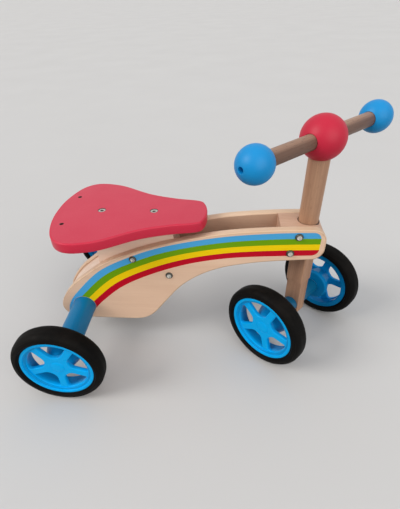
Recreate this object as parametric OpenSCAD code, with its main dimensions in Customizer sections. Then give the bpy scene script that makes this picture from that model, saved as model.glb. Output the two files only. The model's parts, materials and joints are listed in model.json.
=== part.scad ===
// Wooden ride-on toy: two plywood side panels, a board seat, four spoked wheels
// and a front axle that steers with the ball handlebar.
// Millimetres. +X is forward, +Y is the rider's left, +Z is up. The tyres stand on z = 0.

/* [Wheels] */
// Outer diameter of the tyres
wheel_d = 130; // [124:1:136]
// Width of the tyres
tyre_w = 28.5; // [27:0.5:32]
// Radius of the round shoulder of a tyre
tyre_shoulder = 10.5; // [8:0.5:11]
// Diameter of the rim where it meets the tyre
rim_d = 103; // [100:0.5:107]
// Width of the rim from lip to lip
rim_w = 22.5; // [21:0.5:25]
// Number of spokes in a wheel
spoke_count = 5; // [4:1:6]
// Width of a spoke
spoke_w = 11; // [9:0.5:14]
// Thickness of the spoke star
spoke_t = 6; // [5:0.5:8]
// Depth of the spoke star below the rim lip
dish = 3.75; // [3:0.25:5]
// Radius of the outer corners of the windows between the spokes
window_out_corner = 3; // [2:0.5:4]
// Largest radius of the inner corners of the windows
window_in_corner = 10; // [4:0.5:12]
// Diameter of the hub boss on the inner side of a wheel
hub_d = 50; // [46:1:54]
// Diameter of the hub on the outer face of a wheel
hub_face_d = 37; // [34:1:40]
// Reach of the hub boss inboard of the wheel's middle plane
hub_reach = 26; // [24:0.5:28]
// Diameter of the hub caps
cap_d = 20; // [19:0.5:24]
// Angle of a spoke of the rear wheels, up from forward
rear_spoke_angle = 55; // [0:1:71]
// Angle of a spoke of the front wheels, up from forward
front_spoke_angle = 68; // [0:1:71]

/* [Axles] */
// Distance from the rear axle to the steering post
wheelbase = 339; // [334:1:346]
// Distance between the middle planes of the rear wheels
rear_track = 296; // [284:1:310]
// Distance between the middle planes of the front wheels
front_track = 156; // [150:1:170]
// Diameter of the steel axles
axle_d = 8; // [6:0.5:10]
// Diameter of the round wooden beam round the rear axle
beam_d = 36; // [30:1:40]
// Diameter of the spacers on the front axle
spacer_d = 23; // [21:1:28]
// Thickness of the axle washers
washer_t = 1.5; // [1:0.1:2]

/* [Frame] */
// Thickness of a side panel
panel_t = 12; // [10:0.5:14]
// Gap between the two side panels
panel_gap = 37; // [36:0.5:42]
// Rounding of the side panels' edges
panel_round = 1.6; // [0.8:0.2:2.4]
// Height of the top of the front arm
arm_top = 214.4; // [210:0.4:220]
// Height of the front arm at its nose
arm_h = 48; // [44:1:54]
// Reach of the nose in front of the steering post
nose_reach = 21.4; // [20.4:0.2:26]
// Corner radius of the nose
nose_corner = 18; // [12:1:20]
// Length of the head block behind the steering post
head_back = 39.5; // [36:0.5:44]

/* [Seat] */
// Height of the seat's top
seat_top = 224.5; // [222:0.5:235]
// Thickness of the seat board
seat_t = 15; // [14:0.5:18]
// Rounding of the seat's top edge
seat_round = 3; // [1.5:0.5:5]
// Distance of the rear seat screw from the rear axle
seat_screw_rear = 47.5; // [44:0.5:60]
// Distance between the two seat screws
seat_screw_pitch = 76; // [60:1:84]
// Diameter of the two small holes behind the rider
back_hole_d = 5; // [3:0.5:6]
// Distance between those two holes
back_hole_pitch = 80; // [70:1:90]

/* [Steering] */
// Turn of the front axle to the right as the toy stands
steer_rest = 40.7; // [0:0.1:44]
// Largest turn of the front axle either way
steer_limit = 45; // [44:1:50]
// Turn of the handlebar against the front axle, as fitted
bar_twist = 4.8; // [0:0.1:6]
// Diameter of the steering post
post_d = 27; // [25:0.5:28]
// Height of the handlebar's centre line
bar_height = 327.5; // [315:0.5:340]
// Diameter of the handlebar
bar_d = 19.5; // [17:0.5:21]
// Distance between the centres of the grip balls
bar_span = 241; // [220:1:250]
// Diameter of the grip balls
grip_ball_d = 43.5; // [40:0.5:48]
// Diameter of the ball at the middle of the handlebar
centre_ball_d = 56; // [52:0.5:60]
// Length of the fork block along the rolling direction
fork_l = 27; // [26:0.5:30]
// Width of the fork block along the axle
fork_w = 26; // [25:0.5:28]
// Length of the tongue below the fork block
tongue_l = 24; // [22:0.5:25]
// Width of the tongue below the fork block
tongue_w = 20; // [17:0.5:22]
// Height of the shoulder between fork block and tongue
shoulder_z = 111; // [104:1:114]

/* [Fits] */
// Radial clearance of parts that are pushed or glued together
fit = 0.05; // [0.02:0.01:0.1]
// Clearance of parts that turn on one another
run = 0.1; // [0.05:0.01:0.1]

/* [Hidden] */
$fn = 96;

// Angles of arcs
right_angle = 90;
nose_sweep = 75;
arc_gap = 3;

wheel_r = wheel_d / 2;
rim_r = rim_d / 2;
axle_r = axle_d / 2;

// Rim section: tyre channel between two flanges, barrel wall and lip step
flange_t = 3;
channel_r = rim_r - 3.8;
barrel_r = channel_r - 4;
lip_r = rim_r - 4.4;
lip_step = 1.8;
star_z = rim_w / 2 - dish;
star_back = star_z - spoke_t;

// Fine raised ring on the tyre's shoulders: its angle from the side and half its thickness
ring_line_angle = 34;
ring_line_r = 0.6;

// Hub: chamfer and lip of the boss's inner end, cap seat, cavity of the lock nut, lock nut
hub_chamfer = 2;
hub_lip = 6;
cap_t = 2.5;
cap_dome = 0.8;
nut_d = 13;
nut_l = 5;
nut_play = 0.3;
cavity_d = cap_d - 4;
cavity_floor = star_z - cap_t - nut_l - 2.2;
nut_inner = cavity_floor + nut_play;
axle_overhang = nut_inner + nut_l;

// Windows between the spokes, as arcs between two radii
window_out = barrel_r - 1;
window_in = hub_face_d / 2;
window_pitch = 360 / spoke_count;
half_pitch_sine = sin(window_pitch / 2);
round_limit = (window_in * half_pitch_sine - spoke_w / 2) / (1 - half_pitch_sine);
window_in_round = min(window_in_corner, 0.9 * round_limit);

// Front and rear reach of the toy as it stands, for an origin under the middle of its box
wheel_reach = wheelbase + front_track / 2 * sin(steer_rest) + tyre_shoulder
    + (wheel_r - tyre_shoulder) * cos(steer_rest) + (tyre_w / 2 - tyre_shoulder) * sin(steer_rest);
ball_reach = wheelbase + bar_span / 2 * sin(steer_rest + bar_twist) + grip_ball_d / 2;
origin_x = (max(wheel_reach, ball_reach) - wheel_r) / 2;
rear_x = -origin_x;
steer_x = rear_x + wheelbase;

// Side panel outline about the rear axle: along the top to the tail, back along the underside
nose_x = wheelbase + nose_reach;
arm_bottom = arm_top - arm_h;
panel_points = [
    [nose_x - nose_corner, arm_top], [290, arm_top - 1.8], [225, arm_top - 8], [161, 193],
    [100, 174.5], [45, 150], [0, 117], [-16, 102], [-28, 87], [-36, 72],
    [-38, 58], [-31, 46], [-15, 39.5], [10, 38], [60, 38], [88, 39], [104, 44.5],
    [118, 57], [136, 81], [160, 111], [188, 133], [220, 148], [257, arm_bottom - 9.4],
    [295, arm_bottom - 4], [nose_x - nose_corner, arm_bottom]
];
panel_outer = panel_gap / 2 + panel_t;

// Panel screws: places on the side view, about the rear axle
screw_d = 4.5;
screw_head_d = 11;
screw_head_h = 3;
screw_grip = 9;
screw_socket = 4.6;
cut_past = 10;
front_screw_back = [15.4, 24.3];
front_screw_edge = [10.6, 10.8];
front_screw_places = [
    [wheelbase - front_screw_back[0], arm_top - front_screw_edge[0]],
    [wheelbase - front_screw_back[1], arm_bottom + front_screw_edge[1]]
];
middle_screw_places = [[91, 160.4], [143.3, 132.3]];

// Blocks between the panels
block_joint_x = 35;
seat_under = seat_top - seat_t;
seat_block_points = [
    [block_joint_x, 136], [126, 114], [156, 114], [156, 170], [148, seat_under], [block_joint_x, seat_under]
];
head_top = arm_top - 1.4;
head_bottom = arm_bottom;
bush_wall = 1.2;
bush_l = 12;
bush_drop = 6;
head_bore_r = post_d / 2 + run + bush_wall;

// Seat outline, left half, from the nose to the middle of the rear edge
seat_side = [
    [199.2, 0], [195.2, 22.6], [185.5, 33], [150, 40], [110, 53.5], [70, 77.2], [50, 85.4],
    [28, 89.2], [11, 85.2], [-2, 72.4], [-11, 51.6], [-17, 25], [-18.5, 0]
];
seat_screw_d = 4.5;
seat_screw_head_d = 10;
seat_screw_head_h = 2.6;
seat_screw_sink = 0.6;
seat_screw_l = 45;
seat_screw_places = [seat_screw_rear, seat_screw_rear + seat_screw_pitch];
back_hole_x = 2;

// Steering column
fork_top = head_bottom - washer_t - run;
post_bottom = fork_top + washer_t;
tongue_end_r = tongue_l / 2;
tongue_drop = 13;
fork_corner = 2.5;
thrust_rim = 3.5;
tenon_d = 16;
tenon_l = 36;
pin_d = 5;
pin_drop = 10;
pin_z = fork_top - pin_drop;
post_top = bar_height - bar_d / 2 - 0.5;
dowel_d = 8;
dowel_below = 24;
dowel_above = 6;
groove_depth = 4;
stop_d = 6;
stop_z = (head_top + head_bottom) / 2;
stop_tip = post_d / 2 - groove_depth + 0.4;
groove_half = steer_limit + asin((stop_d / 2 + 0.3) / (post_d / 2 - groove_depth)) + 1;

// Handlebar ends
bar_past_ball = 7;
bar_half = bar_span / 2 + bar_past_ball;
grip_hole_d = 7.2;
grip_screw_head_d = 6.8;
grip_screw_head_l = 3;
grip_screw_d = 3;
grip_screw_l = 22;

// Rear beam and front spacers end one washer short of the hub boss
beam_end = rear_track / 2 - hub_reach - washer_t - run;
spacer_end = front_track / 2 - hub_reach - washer_t - run;
washer_d = 20;

beech = "#c99f78";
ply = "#dcc0a0";
seat_red = "#c8324c";
ball_red = "#c8304a";
toy_blue = "#2f95d8";
wheel_blue = "#1591e6";
rubber = "#1c1c1c";
steel = "#b9bcc0";
nylon = "#e8e6df";

// Point of the smooth curve between b and c, with neighbours a and d
function curve_point(a, b, c, d, t) =
    (2 * b + (c - a) * t + (2 * a - 5 * b + 4 * c - d) * t * t + (3 * b - a - 3 * c + d) * t * t * t) / 2;

// Smooth open curve through the points
function smooth_curve(p, steps) = [
    for (i = [0 : len(p) - 2])
        for (s = [0 : steps - 1])
            curve_point(p[max(i - 1, 0)], p[i], p[i + 1], p[min(i + 2, len(p) - 1)], s / steps),
    p[len(p) - 1]
];

// Smooth closed curve through the points
function smooth_loop(p, steps) = let (n = len(p)) [
    for (i = [0 : n - 1])
        for (s = [0 : steps - 1])
            curve_point(p[(i + n - 1) % n], p[i], p[(i + 1) % n], p[(i + 2) % n], s / steps)
];

// Point at an angle on a circle about the origin
function on_circle(r, angle) = r * [cos(angle), sin(angle)];

// Arc of count steps about a centre
function arc(centre, r, from, to, count) = [
    for (i = [0 : count]) centre + on_circle(r, from + (to - from) * i / count)
];

// Outline moved inward by a distance, for an outline that runs counter-clockwise
function inset(outline, distance) = let (n = len(outline)) [
    for (i = [0 : n - 1])
        let (way = outline[(i + 1) % n] - outline[(i + n - 1) % n])
        outline[i] - distance * [way[1], -way[0]] / norm(way)
];

// Side panel outline: the smooth chain and the two round corners of the nose
panel_outline = concat(
    smooth_curve(panel_points, 4),
    arc([nose_x - nose_corner, arm_bottom + nose_corner], nose_corner, -nose_sweep, 0, 5),
    arc([nose_x - nose_corner, arm_top - nose_corner], nose_corner, 0, nose_sweep, 5)
);

// Seat outline: the left half and its mirror image
seat_outline = smooth_loop(
    concat(seat_side, [for (i = [len(seat_side) - 2 : -1 : 1]) [seat_side[i][0], -seat_side[i][1]]]), 4
);

// Outline of one window: two sides along the spokes, two arcs, four round corners
function window_outline() =
    let (
        out_r = window_out - window_out_corner,
        in_r = window_in + window_in_round,
        out_a = asin((spoke_w / 2 + window_out_corner) / out_r),
        in_a = asin((spoke_w / 2 + window_in_round) / in_r),
        far_out_a = window_pitch - out_a,
        far_in_a = window_pitch - in_a,
        far_side_a = window_pitch + right_angle
    )
    concat(
        arc(on_circle(out_r, out_a), window_out_corner, -right_angle, out_a, 5),
        arc([0, 0], window_out, out_a + arc_gap, far_out_a - arc_gap, 6),
        arc(on_circle(out_r, far_out_a), window_out_corner, far_out_a, far_side_a, 5),
        arc(on_circle(in_r, far_in_a), window_in_round, far_side_a, far_in_a + 2 * right_angle, 6),
        arc(on_circle(in_r, in_a), window_in_round, in_a + 2 * right_angle, 3 * right_angle, 6)
    );

// Cutter that rounds one edge of a plate: the upper edge with way = 1, the lower with way = -1
module edge_cutter(outline, z, r, way) {
    n = len(outline);
    section = [[r + 1.42, 0.58], [0.29 * r, -0.29 * r], [-0.58, -r - 1.42], [-0.58, 0.58]];
    points = [for (s = section) for (p = inset(outline, s[0])) [p[0], p[1], z + way * s[1]]];
    faces = [
        for (j = [0 : 3])
            for (i = [0 : n - 1])
                let (k = (i + 1) % n, row = j * n, next = (j + 1) % 4 * n)
                let (a = row + i, b = row + k, c = next + i, d = next + k)
                for (face = way > 0 ? [[a, c, d], [a, d, b]] : [[a, d, c], [a, b, d]]) face
    ];
    polyhedron(points, faces, convexity = 10);
}

// Plate of an outline with rounded edges, lower edge radius r0 and upper edge radius r1
module rounded_plate(outline, t, r0, r1) {
    difference() {
        linear_extrude(t) polygon(outline);
        edge_cutter(outline, 0, r0, -1);
        edge_cutter(outline, t, r1, 1);
    }
}

// Ring between two radii
module ring(r_out, r_in, h) {
    difference() {
        cylinder(r = r_out, h = h);
        translate([0, 0, -1]) cylinder(r = r_in, h = h + 2);
    }
}

// Places children about the rear axle, on the floor
module at_rear() {
    translate([rear_x, 0, 0]) children();
}

// Places children in the steering frame, turned as the toy stands
module at_steering() {
    translate([steer_x, 0, 0]) rotate([0, 0, -steer_rest]) children();
}

// Places children in the frame of the handlebar
module at_bar() {
    at_steering() rotate([0, 0, -bar_twist]) translate([0, 0, bar_height]) children();
}

// Turns children from +Z to the right or left side of the toy
module facing(side) {
    rotate([side == "right" ? 90 : -90, 0, 0]) children();
}

// Places children in a wheel: +Z is outboard, z = 0 is the wheel's middle plane
module at_rear_wheel(side) {
    at_rear()
        translate([0, (side == "right" ? -1 : 1) * rear_track / 2, wheel_r])
            facing(side) children();
}

module at_front_wheel(side) {
    at_steering()
        translate([0, (side == "right" ? -1 : 1) * front_track / 2, wheel_r])
            facing(side) children();
}

// Hex-socket screw, head up, with its shank below z = 0
module socket_screw(head_d, head_h, shank_d, length, socket) {
    difference() {
        union() {
            rotate_extrude() polygon([
                [0, 0], [head_d / 2, 0], [head_d / 2, head_h * 0.35],
                [head_d * 0.42, head_h * 0.8], [head_d * 0.3, head_h], [0, head_h]
            ]);
            translate([0, 0, -length]) cylinder(d = shank_d, h = length + 0.5);
        }
        translate([0, 0, head_h * 0.25]) cylinder(d = socket, h = head_h, $fn = 6);
    }
}

// Panel screws at the places given, in from both sides
module panel_screw_set(places) {
    at_rear()
        for (side = ["right", "left"])
            for (p = places)
                translate([p[0], (side == "right" ? -1 : 1) * panel_outer, p[1]])
                    facing(side)
                        socket_screw(screw_head_d, screw_head_h, screw_d, panel_t + screw_grip, screw_socket);
}

// Holes of the panel screws, right through
module panel_screw_holes(places) {
    for (p = places)
        translate([p[0], 0, p[1]])
            rotate([90, 0, 0])
                cylinder(d = screw_d + 2 * fit, h = 2 * (panel_outer + cut_past), center = true);
}

// Pilot holes of the panel screws in a block, from both of its sides
module pilot_holes(places) {
    for (side = ["right", "left"])
        for (p = places)
            translate([p[0], (side == "right" ? -1 : 1) * panel_gap / 2, p[1]])
                facing(side)
                    translate([0, 0, -screw_grip - fit])
                        cylinder(d = screw_d + 2 * fit, h = screw_grip + 1);
}

// Right side panel about the rear axle
module panel_body() {
    difference() {
        translate([0, -panel_gap / 2, 0])
            rotate([90, 0, 0])
                rounded_plate(panel_outline, panel_t, panel_round, panel_round);
        panel_screw_holes(front_screw_places);
        panel_screw_holes(middle_screw_places);
        translate([0, 0, wheel_r])
            rotate([90, 0, 0])
                cylinder(d = beam_d + 2 * fit, h = 2 * (panel_outer + cut_past), center = true);
    }
}

module right_side_panel() {
    color(ply) at_rear() panel_body();
}

module left_side_panel() {
    color(ply) at_rear() mirror([0, 1, 0]) panel_body();
}

// Filler between the panels' tails, flush with their edges, round the rear beam
module rear_block() {
    color(beech) at_rear()
        difference() {
            rotate([90, 0, 0])
                linear_extrude(panel_gap, center = true)
                    intersection() {
                        polygon(panel_outline);
                        translate([-wheel_r, 0]) square([wheel_r + block_joint_x, arm_top]);
                    }
            translate([0, 0, wheel_r])
                rotate([90, 0, 0])
                    cylinder(d = beam_d + 2 * fit, h = panel_gap + 2, center = true);
        }
}

// Upright block between the panels that carries the seat
module seat_block() {
    color(beech) at_rear()
        difference() {
            rotate([90, 0, 0]) linear_extrude(panel_gap, center = true) polygon(seat_block_points);
            pilot_holes(middle_screw_places);
            for (x = seat_screw_places)
                translate([x, 0, seat_top - seat_screw_l - 5])
                    cylinder(d = seat_screw_d + 2 * fit, h = seat_screw_l);
        }
}

// Block between the panels' noses, bored for the steering post
module head_block() {
    depth = nose_reach + head_back;
    color(beech) at_rear()
        difference() {
            rotate([90, 0, 0])
                linear_extrude(panel_gap, center = true)
                    union() {
                        translate([wheelbase - head_back, head_bottom])
                            square([depth - nose_corner, head_top - head_bottom]);
                        translate([wheelbase - head_back, head_bottom + nose_corner])
                            square([depth, head_top - head_bottom - 2 * nose_corner]);
                        for (z = [head_bottom + nose_corner, head_top - nose_corner])
                            translate([nose_x - nose_corner, z]) circle(r = nose_corner);
                    }
            translate([wheelbase, 0, head_bottom - 1]) cylinder(r = head_bore_r + fit, h = arm_h + 2);
            pilot_holes(front_screw_places);
            translate([wheelbase - head_back - 1, 0, stop_z])
                rotate([0, 90, 0])
                    cylinder(d = stop_d + 2 * fit, h = head_back);
        }
}

// Seat board with round edges, sunk screw places and two small holes at the back
module seat() {
    color(seat_red) at_rear()
        difference() {
            translate([0, 0, seat_under]) rounded_plate(seat_outline, seat_t, 1.5, seat_round);
            for (x = seat_screw_places)
                translate([x, 0, 0]) {
                    translate([0, 0, seat_top - seat_screw_sink - seat_screw_head_h])
                        cylinder(d = seat_screw_head_d + 0.6, h = seat_t);
                    translate([0, 0, seat_under - 1]) cylinder(d = seat_screw_d + 2 * fit, h = seat_t + 2);
                }
            for (y = [-1, 1])
                translate([back_hole_x, y * back_hole_pitch / 2, seat_under - 1])
                    cylinder(d = back_hole_d, h = seat_t + 2);
        }
}

module seat_screws() {
    color(steel) at_rear()
        for (x = seat_screw_places)
            translate([x, 0, seat_top - seat_screw_sink - seat_screw_head_h])
                socket_screw(seat_screw_head_d, seat_screw_head_h, seat_screw_d, seat_screw_l, screw_socket);
}

module front_panel_screws() {
    color(steel) panel_screw_set(front_screw_places);
}

module middle_panel_screws() {
    color(steel) panel_screw_set(middle_screw_places);
}

// Two plain sleeves that line the bore of the head block
module steering_bushes() {
    color(nylon) translate([steer_x, 0, 0])
        for (z = [head_bottom, head_top - bush_drop - bush_l])
            translate([0, 0, z]) ring(head_bore_r, post_d / 2 + run, bush_l);
}

// Grub screw whose tip runs in the groove of the post: it keeps the post in and stops its turn
module stop_screw() {
    color(steel) translate([steer_x - head_back, 0, stop_z]) rotate([0, 90, 0])
        difference() {
            cylinder(d = stop_d, h = head_back - stop_tip);
            translate([0, 0, -1]) cylinder(d = 3.4, h = 5, $fn = 6);
        }
}

module rear_beam() {
    color(toy_blue) at_rear() translate([0, beam_end, wheel_r]) rotate([90, 0, 0])
        ring(beam_d / 2, axle_r + fit, 2 * beam_end);
}

module axle_rod(track) {
    half = track / 2 + axle_overhang;
    translate([0, half, wheel_r]) rotate([90, 0, 0]) cylinder(d = axle_d, h = 2 * half);
}

module rear_axle() {
    color(steel) at_rear() axle_rod(rear_track);
}

// Washers that stand on the end of the beam or spacers
module washer_pair(end) {
    for (side = ["right", "left"])
        translate([0, (side == "right" ? -1 : 1) * end, wheel_r])
            facing(side) ring(washer_d / 2, axle_r + fit, washer_t);
}

module rear_washers() {
    color(steel) at_rear() washer_pair(beam_end);
}

// Push nuts on the ends of an axle, inside the hubs
module nut_pair(track) {
    for (side = ["right", "left"])
        translate([0, (side == "right" ? -1 : 1) * (track / 2 + nut_inner), wheel_r])
            facing(side) ring(nut_d / 2, axle_r + fit, nut_l);
}

module rear_lock_nuts() {
    color(steel) at_rear() nut_pair(rear_track);
}

// Round post with a tenon below, a part groove for the stop screw and a dowel hole on top
module steering_post() {
    color(beech) at_steering()
        difference() {
            union() {
                translate([0, 0, post_bottom]) cylinder(d = post_d, h = post_top - post_bottom);
                translate([0, 0, fork_top - tenon_l]) cylinder(d = tenon_d, h = tenon_l + washer_t + 1);
            }
            translate([0, 0, stop_z])
                rotate([0, 0, 180 - groove_half])
                    rotate_extrude(angle = 2 * groove_half)
                        translate([post_d / 2 - groove_depth, -stop_d / 2 - 0.3])
                            square([groove_depth + 2, stop_d + 0.6]);
            translate([0, 0, post_top - dowel_below]) cylinder(d = dowel_d + 2 * fit, h = dowel_below + 1);
            translate([0, 0, pin_z])
                rotate([90, 0, 0])
                    cylinder(d = pin_d + 2 * fit, h = fork_w + 2, center = true);
        }
}

// Block that joins the post to the front axle, with a round-ended tongue below a shoulder
module fork_block() {
    inner_l = fork_l - 2 * fork_corner;
    inner_w = fork_w - 2 * fork_corner;
    color(beech) at_steering()
        difference() {
            union() {
                translate([0, 0, shoulder_z])
                    linear_extrude(fork_top - shoulder_z)
                        union() {
                            square([fork_l, inner_w], center = true);
                            square([inner_l, fork_w], center = true);
                            for (x = [-1, 1])
                                for (y = [-1, 1])
                                    translate([x * inner_l / 2, y * inner_w / 2]) circle(r = fork_corner);
                        }
                rotate([90, 0, 0])
                    linear_extrude(tongue_w, center = true)
                        union() {
                            translate([0, wheel_r - tongue_drop]) circle(r = tongue_end_r);
                            translate([-tongue_end_r, wheel_r - tongue_drop])
                                square([tongue_l, shoulder_z - wheel_r + tongue_drop + 1]);
                        }
            }
            translate([0, 0, fork_top - tenon_l]) cylinder(d = tenon_d + 2 * fit, h = tenon_l + 1);
            translate([0, 0, pin_z])
                rotate([90, 0, 0])
                    cylinder(d = pin_d + 2 * fit, h = fork_w + 2, center = true);
            translate([0, 0, wheel_r])
                rotate([90, 0, 0])
                    cylinder(d = axle_d + 2 * fit, h = fork_w + 2, center = true);
        }
}

// Cross pin through fork block and tenon
module fork_pin() {
    color(steel) at_steering()
        translate([0, 0, pin_z]) rotate([90, 0, 0]) cylinder(d = pin_d, h = fork_w - 1, center = true);
}

// Washer between the post's shoulder and the fork block, whose rim carries the head block
module thrust_washer() {
    color(nylon) at_steering() translate([0, 0, fork_top])
        ring(post_d / 2 + thrust_rim, tenon_d / 2 + fit, washer_t);
}

module handlebar() {
    color(beech) at_bar()
        difference() {
            rotate([90, 0, 0]) cylinder(d = bar_d, h = 2 * bar_half, center = true);
            translate([0, 0, -bar_d]) cylinder(d = dowel_d + 2 * fit, h = bar_d + dowel_above);
            for (side = ["right", "left"])
                facing(side)
                    translate([0, 0, bar_half - grip_screw_l])
                        cylinder(d = grip_screw_d + 2 * fit, h = grip_screw_l + 1);
        }
}

// Hidden dowel that pins the handlebar to the post
module bar_dowel() {
    bottom = post_top - bar_height - dowel_below;
    color(beech) at_bar() translate([0, 0, bottom]) cylinder(d = dowel_d, h = dowel_above - bottom);
}

module centre_ball() {
    color(ball_red) at_bar()
        difference() {
            sphere(d = centre_ball_d);
            rotate([90, 0, 0]) cylinder(d = bar_d + 2 * fit, h = centre_ball_d + 2, center = true);
            translate([0, 0, post_top - bar_height - centre_ball_d])
                cylinder(d = post_d + 2 * fit, h = centre_ball_d + fit);
            translate([0, 0, -bar_d]) cylinder(d = dowel_d + 2 * fit, h = bar_d);
        }
}

// Ball on the end of the handlebar with a sunk screw hole at its outer end
module grip_ball(side) {
    color(toy_blue) at_bar()
        facing(side)
            difference() {
                translate([0, 0, bar_span / 2]) sphere(d = grip_ball_d);
                cylinder(d = bar_d + 2 * fit, h = bar_half);
                cylinder(d = grip_screw_d + 2 * fit, h = bar_half + grip_ball_d);
                translate([0, 0, bar_half + grip_screw_head_l]) cylinder(d = grip_hole_d, h = grip_ball_d);
            }
}

module right_grip_ball() {
    grip_ball("right");
}

module left_grip_ball() {
    grip_ball("left");
}

module grip_screws() {
    color(steel) at_bar()
        for (side = ["right", "left"])
            facing(side)
                translate([0, 0, bar_half + grip_screw_head_l])
                    socket_screw(grip_screw_head_d, grip_screw_head_l, grip_screw_d, grip_screw_l, 2.4);
}

module front_axle() {
    color(steel) at_steering() axle_rod(front_track);
}

// Spacers between the tongue and the wheels
module front_spacers() {
    color(toy_blue) at_steering()
        for (side = ["right", "left"])
            translate([0, (side == "right" ? -1 : 1) * tongue_w / 2, wheel_r])
                facing(side)
                    ring(spacer_d / 2, axle_r + fit, spacer_end - tongue_w / 2);
}

module front_washers() {
    color(steel) at_steering() washer_pair(spacer_end);
}

module front_lock_nuts() {
    color(steel) at_steering() nut_pair(front_track);
}

// Moulded wheel: rim with tyre channel and stepped lip, spoke star, hub boss and cap seat
module wheel_rim(angle) {
    half = rim_w / 2;
    hub_r = hub_d / 2;
    difference() {
        rotate_extrude()
            union() {
                difference() {
                    translate([barrel_r, -half]) square([channel_r - barrel_r, rim_w]);
                    translate([barrel_r - 1, half - lip_step]) square([lip_r - barrel_r + 1, lip_step + 1]);
                }
                translate([lip_r, half - flange_t]) square([rim_r - lip_r, flange_t]);
                translate([barrel_r, half - flange_t]) square([rim_r - barrel_r, flange_t - lip_step]);
                translate([barrel_r, -half]) square([rim_r - barrel_r, flange_t]);
                translate([0, star_back]) square([barrel_r + 1, spoke_t]);
                polygon([
                    [0, -hub_reach], [hub_r - hub_chamfer, -hub_reach], [hub_r, hub_chamfer - hub_reach],
                    [hub_r, hub_lip - hub_reach], [window_in - 0.5, star_back - 1], [window_in - 0.5, star_z],
                    [0, star_z]
                ]);
            }
        for (k = [0 : spoke_count - 1])
            rotate([0, 0, angle + k * 360 / spoke_count])
                translate([0, 0, star_back - 1])
                    linear_extrude(spoke_t + 2) polygon(window_outline());
        translate([0, 0, -hub_reach - 1]) cylinder(r = axle_r + run, h = hub_reach + rim_w);
        translate([0, 0, cavity_floor]) cylinder(d = cavity_d, h = rim_w);
        translate([0, 0, star_z - cap_t]) cylinder(d = cap_d, h = rim_w);
    }
}

// Rubber tyre: walls that meet the rim lips, round shoulders with a fine raised ring, a foot in the channel
module tyre() {
    flat = tyre_w / 2 - tyre_shoulder;
    shoulder_at = wheel_r - tyre_shoulder;
    foot_w = rim_w - 2 * flange_t - 2 * fit;
    ring_at = tyre_shoulder * [sin(ring_line_angle), cos(ring_line_angle)];
    rotate_extrude()
        difference() {
            union() {
                polygon([
                    [rim_r + fit, -rim_w / 2], [shoulder_at, -tyre_w / 2],
                    [shoulder_at, tyre_w / 2], [rim_r + fit, rim_w / 2]
                ]);
                translate([rim_r + fit, -flat]) square([wheel_r - rim_r - fit, 2 * flat]);
                for (z = [-flat, flat])
                    translate([shoulder_at, z]) circle(r = tyre_shoulder);
                for (z = [-flat - ring_at[1], flat + ring_at[1]])
                    translate([shoulder_at + ring_at[0], z]) circle(r = ring_line_r);
                translate([channel_r + fit, -foot_w / 2]) square([rim_r - channel_r + 1, foot_w]);
            }
            translate([fit, -tyre_w]) square([channel_r, 2 * tyre_w]);
            for (z = [-1, 1])
                translate([channel_r - 1, z > 0 ? foot_w / 2 : -foot_w / 2 - tyre_w])
                    square([rim_r + fit - channel_r + 1, tyre_w]);
        }
}

// Low domed cap in the wheel's cap seat
module hub_cap() {
    r = cap_d / 2 - fit;
    translate([0, 0, star_z - cap_t])
        rotate_extrude()
            polygon([
                [0, 0], [r, 0], [r, cap_t], [r - 1, cap_t + cap_dome * 0.55],
                [r * 0.5, cap_t + cap_dome * 0.9], [0, cap_t + cap_dome]
            ]);
}

module rear_right_wheel() {
    color(wheel_blue) at_rear_wheel("right") wheel_rim(rear_spoke_angle);
}

module rear_right_tyre() {
    color(rubber) at_rear_wheel("right") tyre();
}

module rear_right_hub_cap() {
    color(wheel_blue) at_rear_wheel("right") hub_cap();
}

module rear_left_wheel() {
    color(wheel_blue) at_rear_wheel("left") wheel_rim(rear_spoke_angle);
}

module rear_left_tyre() {
    color(rubber) at_rear_wheel("left") tyre();
}

module rear_left_hub_cap() {
    color(wheel_blue) at_rear_wheel("left") hub_cap();
}

module front_right_wheel() {
    color(wheel_blue) at_front_wheel("right") wheel_rim(front_spoke_angle);
}

module front_right_tyre() {
    color(rubber) at_front_wheel("right") tyre();
}

module front_right_hub_cap() {
    color(wheel_blue) at_front_wheel("right") hub_cap();
}

module front_left_wheel() {
    color(wheel_blue) at_front_wheel("left") wheel_rim(front_spoke_angle);
}

module front_left_tyre() {
    color(rubber) at_front_wheel("left") tyre();
}

module front_left_hub_cap() {
    color(wheel_blue) at_front_wheel("left") hub_cap();
}

right_side_panel();
left_side_panel();
rear_block();
seat_block();
head_block();
seat();
seat_screws();
front_panel_screws();
middle_panel_screws();
steering_bushes();
stop_screw();
rear_beam();
rear_axle();
rear_washers();
rear_lock_nuts();
steering_post();
fork_block();
fork_pin();
thrust_washer();
handlebar();
bar_dowel();
centre_ball();
right_grip_ball();
left_grip_ball();
grip_screws();
front_axle();
front_spacers();
front_washers();
front_lock_nuts();
rear_right_wheel();
rear_right_tyre();
rear_right_hub_cap();
rear_left_wheel();
rear_left_tyre();
rear_left_hub_cap();
front_right_wheel();
front_right_tyre();
front_right_hub_cap();
front_left_wheel();
front_left_tyre();
front_left_hub_cap();
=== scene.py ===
import json
import math

import bmesh
import bpy
from mathutils import Matrix, Vector
from mathutils.geometry import delaunay_2d_cdt


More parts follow.
